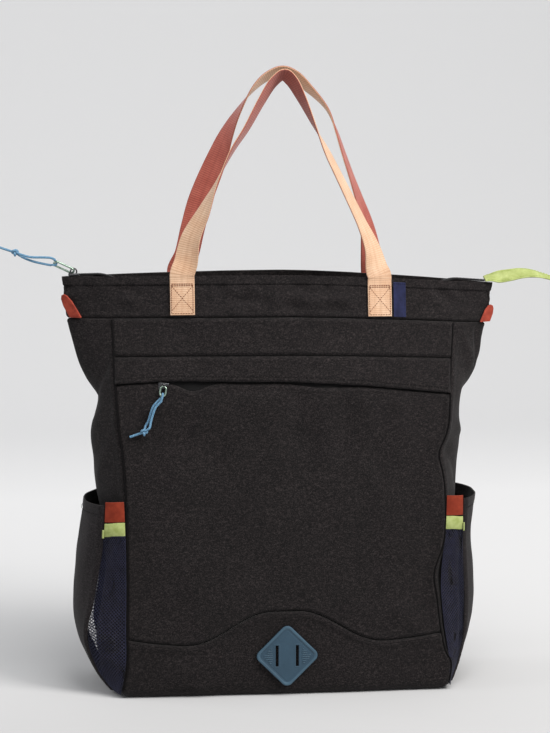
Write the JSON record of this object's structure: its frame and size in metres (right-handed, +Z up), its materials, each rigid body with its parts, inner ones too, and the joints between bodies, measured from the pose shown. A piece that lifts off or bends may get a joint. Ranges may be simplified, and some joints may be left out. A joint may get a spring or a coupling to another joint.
{
  "type": "convertible tote backpack",
  "caption": "Convertible tote backpack in dark heathered cloth with a pinched zip rim, tall webbing handles, front pocket, mesh-sided bottle pockets and plain padded back straps.",
  "frame": {"origin": "on the floor under the middle of the base panel", "axes": "+X to the right seen from the front, +Y to the back, where the shoulder straps are, +Z up"},
  "size_m": [0.5928, 0.1809, 0.6481],
  "materials": {
    "cloth": "heathered woven, matt",
    "mesh_cloth": "open knitted netting",
    "peach_webbing": "ribbed webbing, peach and terracotta faces",
    "rust_webbing": "ribbed webbing",
    "lime_trim": "smooth woven tape",
    "blue_cord": "braided cord",
    "slate_rubber": "matt moulded",
    "navy_label": "woven label",
    "wire": "polished wire",
    "zip_coil": "coil and tape",
    "strap_cloth": "padded cloth",
    "buckle_plastic": "moulded"
  },
  "bodies": {
    "root": {"back_panel": "cloth", "base_panel": "cloth", "front_panel": "cloth", "front_upper_panel": "cloth", "front_yoke": "cloth", "handle_front": "peach_webbing", "handle_rear": "peach_webbing", "label": "navy_label", "lash_patch": "slate_rubber", "pocket_flap": "cloth", "pocket_pull_cord_lower": "blue_cord", "pocket_pull_cord_tail": "blue_cord", "pocket_pull_cord_upper": "blue_cord", "pocket_pull_knot": "blue_cord", "pocket_zip_chain": "zip_coil", "pocket_zip_pull_loop": "wire", "pocket_zip_slider": "wire", "pocket_zip_tape": "zip_coil", "rim_band_front": "cloth", "rim_band_rear": "cloth", "shoulder_strap_left": "strap_cloth", "shoulder_strap_right": "strap_cloth", "side_loop_left": "rust_webbing", "side_loop_right": "rust_webbing", "side_panel_left": "cloth", "side_panel_right": "cloth", "side_pocket_left_binding_front": "lime_trim", "side_pocket_left_binding_rear": "lime_trim", "side_pocket_left_mesh_front": "mesh_cloth", "side_pocket_left_mesh_rear": "mesh_cloth", "side_pocket_left_panel": "cloth", "side_pocket_left_tab_front": "rust_webbing", "side_pocket_left_tab_rear": "rust_webbing", "side_pocket_right_binding_front": "lime_trim", "side_pocket_right_binding_rear": "lime_trim", "side_pocket_right_mesh_front": "mesh_cloth", "side_pocket_right_mesh_rear": "mesh_cloth", "side_pocket_right_panel": "cloth", "side_pocket_right_tab_front": "rust_webbing", "side_pocket_right_tab_rear": "rust_webbing", "strap_buckle_left": "buckle_plastic", "strap_buckle_right": "buckle_plastic", "strap_webbing_left": "strap_cloth", "strap_webbing_right": "strap_cloth", "top_pull_cord_lower": "blue_cord", "top_pull_cord_tail": "blue_cord", "top_pull_cord_upper": "blue_cord", "top_pull_knot": "blue_cord", "top_zip_chain": "zip_coil", "top_zip_pull_loop": "wire", "top_zip_slider": "wire", "top_zip_tape_front": "zip_coil", "top_zip_tape_rear": "zip_coil", "zip_end_tab": "lime_trim"}
  },
  "joints": []
}
